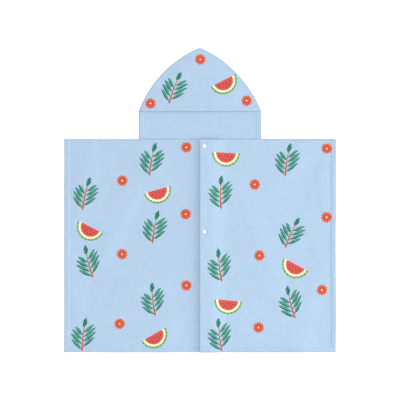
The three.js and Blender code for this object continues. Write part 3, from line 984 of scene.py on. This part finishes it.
marks = [*hem_marks(-SIDE_X, HEM, 1), *hem_marks(UNDERLAP, PLACKET, -1)]
x, y, edge, holes = front_grid(-SIDE_X, UNDERLAP, marks)
lower_terry = terry_material("lower_front_terry", print_shift=(0.645, 0.348))
surfaces = lower_under(x, y), lower_top(x, y)
lower_front = cut_panel(
    "lower_front_cloth", lower_terry, x, y, edge, *surfaces,
    closing=front_closing(x, y), outer_up=True, shaded_edge=front_shaded_edges(x, y), holes=holes,
)
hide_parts("front_under")
placket_line = UNDERLAP - PLACKET + STITCH_INSET
lower_stitches = sew(
    "lower_front_stitches",
    lower_top,
    1,
    ((-SIDE_LINE, HEM_LINE), (-SIDE_LINE, NECK_Y - HEM)),
    ((-SIDE_LINE, HEM_LINE), (UNDERLAP, HEM_LINE)),
    ((placket_line, HEM_LINE), (placket_line, NECK_LINE)),
    ((HEM - NECK_X, NECK_LINE), (UNDERLAP, NECK_LINE)),
)

# The upper front
# The wearer's left front, print side up, with a wide hem down its inner edge for caps and sockets.
# It laps over the lower front, steps down beside the lap, and is sewn to the back at the shoulder.
LAP_RISE = 5.4 * MM
LAP_FLAT = 24 * MM
LAP_SLOPE = 48 * MM
SHARP_FOLD = 0.42
FOLD_WIDTH = 2 * EDGE_ROUND
UPPER_CLOTH_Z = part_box("snap_1_socket")[1].z + GAP
OVER_SWELLS = [
    Swell(x=325, y=20, along=110, across=32, turn=94, height=2.8),
    Swell(x=225, y=80, along=120, across=28, turn=55, height=1.8),
    Swell(x=150, y=-110, along=150, across=32, turn=112, height=2.1),
    Swell(x=300, y=-210, along=120, across=34, turn=66, height=2.2),
    Swell(x=175, y=-330, along=110, across=30, turn=150, height=2.0),
    Swell(x=260, y=-385, along=60, across=26, turn=88, height=2.3),
]
OVER_SEED = 71


def upper_under(x, y):
    lap = LAP_RISE * (1.0 - soft_step(LAP_FLAT, LAP_FLAT + LAP_SLOPE, x))
    return front_under(x, y, OVER_SWELLS, lap, UPPER_CLOTH_Z)


def upper_top(x, y):
    return upper_under(x, y) + front_thickness(x, y, front_hems(x, y, x), OVER_SEED)


marks = [*hem_marks(0.0, PLACKET, 1), *hem_marks(SIDE_X, HEM, -1)]
x, y, edge, holes = front_grid(0.0, SIDE_X, marks)
upper_terry = terry_material("upper_front_terry", print_shift=(0.642, 0.168), edge_shading=EDGE_SHADE_FULL)
surfaces = upper_under(x, y), upper_top(x, y)
crease = SHARP_FOLD * soft_step(FOLD_WIDTH, 0.0, x)
upper_front = cut_panel(
    "upper_front_cloth", upper_terry, x, y, edge, *surfaces,
    closing=front_closing(x, y) + crease, outer_up=True, shaded_edge=front_shaded_edges(x, y), holes=holes,
)
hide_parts("front_over")
placket_line = PLACKET - STITCH_INSET
upper_stitches = sew(
    "upper_front_stitches",
    upper_top,
    1,
    ((SIDE_LINE, HEM_LINE), (SIDE_LINE, NECK_Y - HEM)),
    ((STITCH_INSET, HEM_LINE), (SIDE_LINE, HEM_LINE)),
    ((placket_line, HEM_LINE), (placket_line, NECK_LINE)),
    ((STITCH_INSET, NECK_LINE), (NECK_X - HEM, NECK_LINE)),
)

# The snaps
# Two snap fasteners, each four moulded pieces of pearly white plastic: cap, socket, stud and back cap.
# The caps' posts go through the cloth and are pressed flat inside the socket and the stud.
CAP_RADIUS = 5.35 * MM
CAP_HEIGHT = 1.3 * MM
BACK_CAP_HEIGHT = 1.0 * MM
POST_RADIUS = 1.9 * MM
RING_RADIUS = 4.7 * MM
FLANGE = 0.8 * MM
TURN_SIDES = 48
BEVEL = 0.12 * MM
MOST_BEVEL = 0.4
UNDERCUT = 2 * BEVEL
TAPER = 4 * BEVEL
SOCKET_STEP = 8 * BEVEL
DISH = 0.22 * MM
PEARL = paint(230, 237, 243)
PEARL_SHADE = paint(212, 221, 233)
PEARL_PATCH = 3 * MM
PEARL_GRAIN = PEARL_PATCH / 12
PEARL_ROUGHNESS, CLOUDED_ROUGHNESS = 0.22, 0.14
PEARL_FINISH = {"Coat Weight": 0.35, "Coat Roughness": 0.12}
CAP_BORDER = [(0.965, 0.02), (0.995, 0.22), (1.0, 0.42), (0.98, 0.66)]
CAP_BORDER += [(0.93, 0.86), (0.86, 0.97), (0.79, 1.0)]
CAP_DISH = [(0.66, 0.25), (0.55, 0.8), (0.42, 1.0), (0.0, 1.0)]


def make_snap_material():
    """Moulded plastic with a pearl sheen, which the mould's flow leaves faintly cloudy"""
    material, tree, shader = new_material("pearl_plastic", PEARL_FINISH)
    spot = add_node(tree, "ShaderNodeTexCoord", {}).outputs["Object"]
    cloud = {"Vector": spot, "Scale": 1 / PEARL_PATCH, "Detail": 3.0, "Distortion": 0.6}
    cloud = add_node(tree, "ShaderNodeTexNoise", cloud).outputs[0]
    feed(shader["Base Color"], mix_colour(tree, cloud, PEARL, PEARL_SHADE))
    feed(shader["Roughness"], Field(cloud) * CLOUDED_ROUGHNESS + PEARL_ROUGHNESS)
    grain = {"Vector": spot, "Scale": 1 / PEARL_GRAIN}
    grain = add_node(tree, "ShaderNodeTexNoise", grain).outputs[0]
    bump = add_node(tree, "ShaderNodeBump", {"Strength": 0.15, "Distance": BEVEL / 4, "Height": grain})
    feed(shader["Normal"], bump.outputs["Normal"])
    return material


pearl_plastic = make_snap_material()


def eased(profile):
    """The profile with each of its corners cut back to a small bevel"""
    places = [np.array(place) for place in profile]
    result = [places[0]]
    for before, corner, after in zip(places, places[1:], places[2:]):
        for other in (before, after):
            reach = math.dist(corner, other)
            result.append(corner + (other - corner) * min(BEVEL / reach, MOST_BEVEL))
    return [*result, places[-1]]


def turn_on_lathe(name, centre_y, profile, ring=False):
    """A solid turned about an upright axis, from (radius, height) places up its outside from axis to
    axis. A ring's profile goes round its section instead."""
    points, rows = [], []
    for radius, height in profile:
        count = TURN_SIDES if radius > 0 else 1
        rows.append([len(points) + k for k in range(count)] * (TURN_SIDES // count))
        for k in range(count):
            angle = math.tau * k / TURN_SIDES
            x, y = SNAP_X + radius * math.cos(angle), centre_y + radius * math.sin(angle)
            points.append((x, y, height))
    faces = []
    for low, high in zip(rows, rows[1:] + rows[:1] if ring else rows[1:]):
        for k in range(TURN_SIDES):
            after = (k + 1) % TURN_SIDES
            corners = (low[k], low[after], high[after], high[k])
            faces.append(tuple(dict.fromkeys(corners)))
    piece = new_piece(name, np.array(points), faces, pearl_plastic)
    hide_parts(name.replace("_piece", ""))


def dished_cap(flat_z, face_z, post_z):
    """A post, and a disc with a rounded border and a shallow dish in its face, turned over if it faces
    down. Border and dish are shares of the radius and of the disc's height or the dish's depth."""
    up = 1 if face_z > flat_z else -1
    height = abs(face_z - flat_z)
    post = [(0.0, post_z), (POST_RADIUS - BEVEL, post_z)]
    post += [(POST_RADIUS, post_z + up * BEVEL), (POST_RADIUS, flat_z)]
    disc = [(CAP_RADIUS * wide, flat_z + up * height * share) for wide, share in CAP_BORDER]
    dish = [(CAP_RADIUS * wide, face_z - up * DISH * share) for wide, share in CAP_DISH]
    profile = [*post, *disc, *dish]
    return profile if up > 0 else profile[::-1]


def stud_profile(low_z, high_z):
    """A flange on the cloth, and a post with a bead round it that the socket grips"""
    flange_z, bead_z = low_z + FLANGE, (low_z + FLANGE + high_z) / 2
    flange = [(0.0, low_z), (RING_RADIUS, low_z), (RING_RADIUS, low_z + FLANGE / 2)]
    flange.append((RING_RADIUS - TAPER, flange_z))
    post = [(POST_RADIUS - UNDERCUT, flange_z), (POST_RADIUS, bead_z)]
    return eased([*flange, *post, (POST_RADIUS - TAPER, high_z), (0.0, high_z)])


def socket_profile(low_z, high_z):
    """The section of a stepped ring, with its wide side against the cloth above it"""
    waist = RING_RADIUS - SOCKET_STEP
    inside = [(POST_HOLE, high_z), (POST_HOLE, low_z)]
    outside = [(waist, low_z), (waist, high_z - SOCKET_STEP)]
    outside += [(RING_RADIUS, high_z - TAPER), (RING_RADIUS, high_z)]
    return eased([outside[-1], *inside, *outside, inside[0]])[1:-1]


for number, snap_y in enumerate(SNAP_YS, start=1):
    cap_low, cap_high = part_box(f"snap_{number}_cap")
    cap = dished_cap(cap_high.z - CAP_HEIGHT, cap_high.z, cap_low.z)
    turn_on_lathe(f"snap_{number}_cap_piece", snap_y, cap)
    cap_low, cap_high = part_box(f"snap_{number}_back_cap")
    back_cap = dished_cap(cap_low.z + BACK_CAP_HEIGHT, cap_low.z, cap_high.z)
    turn_on_lathe(f"snap_{number}_back_cap_piece", snap_y, back_cap)
    stud = stud_profile(*(corner.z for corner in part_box(f"snap_{number}_stud")))
    turn_on_lathe(f"snap_{number}_stud_piece", snap_y, stud)
    socket = socket_profile(*(corner.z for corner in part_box(f"snap_{number}_socket")))
    turn_on_lathe(f"snap_{number}_socket_piece", snap_y, socket, ring=True)

# The studio
# A wide white light table under a white sky, with a broad lamp overhead and another low on the right.
# The camera looks straight down on the middle of the garment.
FLOOR_SIZE = 24.0
FLOOR_DROP = 0.05 * MM
WHITE = (1.0, 1.0, 1.0, 1.0)
LIGHT_TABLE_FINISH = {
    "Base Color": (0.97, 0.97, 0.97, 1.0),
    "Roughness": 1.0,
    "Specular IOR Level": 0.0,
    "Emission Color": WHITE,
    "Emission Strength": 0.2,
}
SKY = 0.8
VIEW_WIDTH = 1.031
LENS = 100.0
SENSOR = 36.0


def make_floor():
    half = FLOOR_SIZE / 2
    points = np.array([(-half, -half, 0), (half, -half, 0), (half, half, 0), (-half, half, 0)])
    mesh = bpy.data.meshes.new("floor")
    mesh.from_pydata((points - (0, 0, FLOOR_DROP)).tolist(), [], [(0, 1, 2, 3)])
    floor = bpy.data.objects.new("floor", mesh)
    bpy.context.scene.collection.objects.link(floor)
    white = new_material("matt_white", LIGHT_TABLE_FINISH)[0]
    mesh.materials.append(white)


def add_lamp(name, place, size, power):
    """A square soft lamp that faces the garment"""
    lamp = bpy.data.lights.new(name, "AREA")
    lamp.size = size
    lamp.energy = power
    holder = bpy.data.objects.new(name, lamp)
    holder.location = place
    holder.rotation_euler = (-holder.location).to_track_quat("-Z", "Y").to_euler()
    bpy.context.scene.collection.objects.link(holder)


make_floor()
add_lamp("overhead_lamp", place=(0.2, -0.3, 2.6), size=2.0, power=23.0)
add_lamp("side_lamp", place=(4.2, -0.3, 1.2), size=1.8, power=136.0)
sky = bpy.data.worlds.new("white_sky")
sky.use_nodes = True
sky_light = sky.node_tree.nodes["Background"].inputs
sky_light["Color"].default_value = WHITE
sky_light["Strength"].default_value = SKY
scene = bpy.context.scene
scene.world = sky
scene.view_settings.view_transform = "Standard"
camera_data = bpy.data.cameras.new("camera")
camera_data.lens = LENS
camera_data.sensor_width = SENSOR
camera = bpy.data.objects.new("camera", camera_data)
camera.location = (0.0, 0.0, cad_high.z / 2 + VIEW_WIDTH * LENS / SENSOR)
scene.collection.objects.link(camera)
scene.camera = camera
